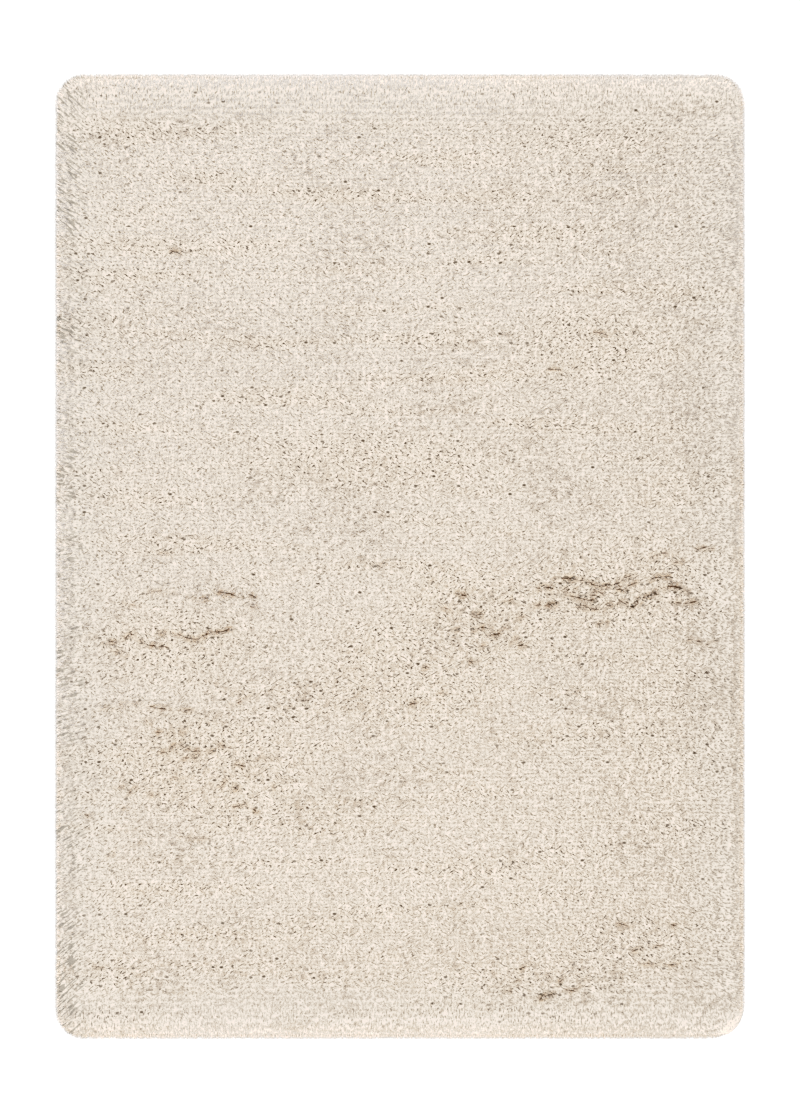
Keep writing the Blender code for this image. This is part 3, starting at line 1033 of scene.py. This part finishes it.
    # Bend each strand along its own line, keeping it round
    offset = place - read("root", "FLOAT_VECTOR")
    local_x, local_y, share = offset.parts
    pile = store(pile, "along", share)
    share = read("along")
    lean = read("lean", "FLOAT_VECTOR")
    tip = read("tip")
    arch = read("arch")
    line = lean * share**BEND + graph.vector(0.0, 0.0, tip * share + arch * share * (1.0 - share) * ARCH_STEEPNESS)
    climb = tip + arch * (1.0 - share * 2.0) * ARCH_STEEPNESS
    run = (lean * (share ** (BEND - 1.0) * BEND) + graph.vector(0.0, 0.0, climb)).sum("NORMALIZE")
    flat = graph.vector(local_x, local_y, 0.0)
    _, _, upward = run.parts
    tilt = (run + (0.0, 0.0, 1.0)) * (flat.sum("DOT_PRODUCT", run).out("Value") / (1.0 + upward))
    bent = read("root", "FLOAT_VECTOR") + line + flat - tilt
    bent_x, bent_y, bent_z = bent.parts
    bent = graph.vector(bent_x, bent_y, bent_z.sum("MAXIMUM", STRAND_LIFT))
    pile = add("GeometryNodeSetPosition", {}, {"Geometry": pile, "Position": bent})

    # The map: one cell for each strand
    cell = read("cell", "INT")
    column = cell.sum("MODULO", cells)
    row = (cell / cells).sum("FLOOR")
    within = read("strand_map", "FLOAT_VECTOR") * MAP_FILL + (1.0 - MAP_FILL) / 2
    spot = (graph.vector(column, row) + within) / cells
    pile = store(pile, "OFBake", spot, "FLOAT2", "CORNER")
    for name in ("root", "lean", "tip", "arch", "cell", "depth", "strand_map"):
        pile = add("GeometryNodeRemoveAttribute", {}, {"Geometry": pile, "Name": name})
    pile = add("GeometryNodeSetShadeSmooth", {}, {"Geometry": pile})
    pile = add("GeometryNodeSetMaterial", {}, {"Geometry": pile, "Material": given["Material"]})
    add("NodeGroupOutput", {}, {"Geometry": pile})
    return tree


# Colours of the yarn, with a painted warm shade for the roots and painted shade for the cracks and the gaps between
# tips
TIP_COLOUR = (0.759, 0.697, 0.643)
WARM_TIP_COLOUR = (0.778, 0.668, 0.553)
ROOT_SHADE_COLOUR = (0.69, 0.59, 0.465)
CRACK_SHADE_COLOUR = (0.37, 0.195, 0.075)
GAP_SHADE_COLOUR = (0.29, 0.238, 0.180)
YARN_FINISH = {"Roughness": 0.85, "Specular IOR Level": 0.2, "Sheen Weight": 0.15, "Sheen Roughness": 0.5}
FIBRE_STRETCH = (0.65, 1.0, 0.5)
FIBRES = (0.32, 0.50, 0.88, 1.0)

# Warmth: more towards the bottom right, and painted warm shade at the partings and where the pile is ruffled
DIAGONAL = 0.7
DIAGONAL_WARMTH = (-0.8, 0.8, 0.0, 0.85)
PARTED_WARMTH = 0.5
RUFFLED_WARMTH = 0.9
PARTED_ROOT = 0.12
ROOT_SHOWS = 0.25
PARTED_ROOT_SHOWS = 0.10
TIP_SHOWS = 0.95
CRACK_SHADE = (0.35, 0.95, 0.0, 0.58)

# Painted light and shade by the side of the rug, painted shade along a strand towards its tip, tone from yarn to yarn,
# and the strength of painted shade in the gaps
SIDE_PAINTED_LIGHT = (
    (-0.622, -0.608, 1.26, 1.0),
    (-0.60, -0.54, 0.97, 1.0),
    (0.1, 0.5, 1.0, 0.905),
    (0.608, 0.622, 1.0, 1.25),
)
END_PAINTED_LIGHT = (0.78, 0.85, 1.0, 1.05)
PAINTED_TIP_SHADE = (0.78, 1.0, 1.0, 0.90)
YARN_SHADE = (0.02, 0.07, 0.08, 0.04)
GAP_SHADE = 0.38
RUFFLED_GAP_SHADE = 0.95
END_GAPS = (0.80, 0.85, 1.5, 0.5)
GAP_RIM_START = 0.010
GAP_RIM_END = 0.050


def pile_material():
    material, graph, surface = new_finish("cream_pile_yarn", YARN_FINISH)
    along = attribute(graph, "along")
    parted = attribute(graph, "parted")
    ruffle = attribute(graph, "ruffle")
    from_outline = attribute(graph, "from_outline")
    place = graph.add("ShaderNodeTexCoord", {}, {}, "Object")
    x, y, _ = place.parts

    # From the root's painted warm shade to the tip, warmer in places, with painted shade in the cracks
    warm = graph.ramp(x * DIAGONAL - y * DIAGONAL, *DIAGONAL_WARMTH) + parted * PARTED_WARMTH + ruffle * RUFFLED_WARMTH
    tip = graph.mix(warm.sum("MINIMUM", 1.0), TIP_COLOUR, WARM_TIP_COLOUR)
    root = graph.mix(parted * PARTED_ROOT, ROOT_SHADE_COLOUR, CRACK_SHADE_COLOUR)
    high = graph.ramp(along, ROOT_SHOWS + parted * PARTED_ROOT_SHOWS, TIP_SHOWS, 0.0, 1.0)
    cracked = graph.ramp(attribute(graph, "crack"), *CRACK_SHADE)
    colour = graph.mix(cracked, graph.mix(high, root, tip), CRACK_SHADE_COLOUR)

    # Painted shade in the gaps between the tips and in the streaks between the rim's locks
    between = pile_gaps(graph, place) * (GAP_SHADE + RUFFLED_GAP_SHADE * ruffle)
    at_end = graph.ramp(y.sum("ABSOLUTE"), *END_GAPS)
    between = between * graph.ramp(from_outline, GAP_RIM_START, GAP_RIM_END, at_end, 1.0)
    colour = graph.mix(between.sum("MINIMUM", 1.0), colour, GAP_SHADE_COLOUR)
    colour = graph.mix(rim_locks(graph, place) * LOCK_SHARE, colour, LOCK_SHADE_COLOUR)

    # Painted light and shade by the rim and the sides, painted shade at the tips, with fibres and yarn tone
    rim = tints(graph, from_outline, RIM_PAINTED_LIGHT)
    sides = tints(graph, x, SIDE_PAINTED_LIGHT) * graph.ramp(y.sum("ABSOLUTE"), *END_PAINTED_LIGHT)
    fibres = graph.ramp(graph.noise(place * FIBRE_STRETCH, FIBRE_SCALE, detail=1.0), *FIBRES)
    shade = fibres * rim * sides * graph.ramp(along, *PAINTED_TIP_SHADE)
    shade = shade * (1.0 - graph.ramp(from_outline, *YARN_SHADE) * (1.0 - attribute(graph, "yarn")))
    graph.feed(surface, "Base Color", colour * graph.vector(shade, shade, shade))
    return material


PILE_BANDS = 4
RIM_BAND = 0.034

pile_tree = plant_pile_tree()
common = {"Partings": partings, "Material": pile_material()}
inner_length = CLOTH_LENGTH - 2 * RIM_BAND
for band in range(PILE_BANDS):
    low = -inner_length / 2 + inner_length * band / PILE_BANDS
    inputs = {
        **common,
        "Strand": plain_strand,
        "Least Depth": RIM_BAND,
        "Low Y": low,
        "High Y": low + inner_length / PILE_BANDS,
    }
    plant(f"pile_band_{band + 1}", pile_tree, inputs)
for side, limit in (("left", "High X"), ("right", "Low X")):
    inputs = {
        **common,
        "Strand": rim_strand,
        "Most Depth": RIM_BAND,
        limit: 0.0,
        "Row Pitch": RIM_PITCH,
        "Stitch Pitch": RIM_PITCH,
        "Strand Radius": RIM_STRAND_RADIUS,
    }
    plant(f"pile_rim_{side}", pile_tree, inputs)
for guide in (plain_strand, rim_strand, partings):
    bpy.data.objects.remove(guide)


# Studio. A plain near-white floor, soft light from all round, one wide softbox above the rug and one past each of its
# short sides. The tone curve holds the pale pile back a little from white.

FLOOR_HALF = 8.0
FLOOR_FINISH = {"Base Color": (0.93, 0.93, 0.93, 1.0), "Roughness": 0.9, "Specular IOR Level": 0.0}
SKY_COLOUR = (1.0, 1.0, 1.0, 1.0)
SKY_STRENGTH = 1.25
MAX_BOUNCES = 24
DIFFUSE_BOUNCES = 16
HIGHLIGHT_SHOULDER = ((0.0, 0.0), (0.31, 0.31), (0.62, 0.613), (0.80, 0.750), (1.0, 0.876), (1.15, 1.003))
Softbox = namedtuple("Softbox", "place wide deep watts")
SOFTBOXES = (
    Softbox(place=(0.0, 0.0, 5.5), wide=4.0, deep=4.0, watts=42.0),
    Softbox(place=(0.0, 3.0, 1.6), wide=3.0, deep=1.0, watts=22.0),
    Softbox(place=(0.0, -3.0, 1.6), wide=3.0, deep=1.0, watts=22.0),
)

floor_mesh = bmesh.new()
bmesh.ops.create_grid(floor_mesh, x_segments=1, y_segments=1, size=FLOOR_HALF)
floor = finished_mesh("studio_floor", floor_mesh)
scene.collection.objects.link(floor)
floor.data.materials.append(new_finish("studio_white", FLOOR_FINISH)[0])

for number, box in enumerate(SOFTBOXES):
    light = bpy.data.lights.new(f"softbox_{number}", "AREA")
    light.shape = "RECTANGLE"
    light.size = box.wide
    light.size_y = box.deep
    light.energy = box.watts
    lamp = bpy.data.objects.new(f"softbox_{number}", light)
    lamp.location = box.place
    lamp.rotation_euler = (-Vector(box.place)).to_track_quat("-Z", "Y").to_euler()
    scene.collection.objects.link(lamp)

world = bpy.data.worlds.new("studio")
scene.world = world
world.use_nodes = True
background = world.node_tree.nodes["Background"]
background.inputs["Color"].default_value = SKY_COLOUR
background.inputs["Strength"].default_value = SKY_STRENGTH
scene.view_settings.view_transform = "Standard"
scene.view_settings.use_curve_mapping = True
tones = scene.view_settings.curve_mapping
tones.use_clip = False
whole = tones.curves[3]
for place in HIGHLIGHT_SHOULDER[1:-1]:
    whole.points.new(*place)
for point, place in zip(whole.points, HIGHLIGHT_SHOULDER):
    point.location = place
    point.handle_type = "AUTO_CLAMPED"
tones.update()
scene.cycles.max_bounces = MAX_BOUNCES
scene.cycles.diffuse_bounces = DIFFUSE_BOUNCES
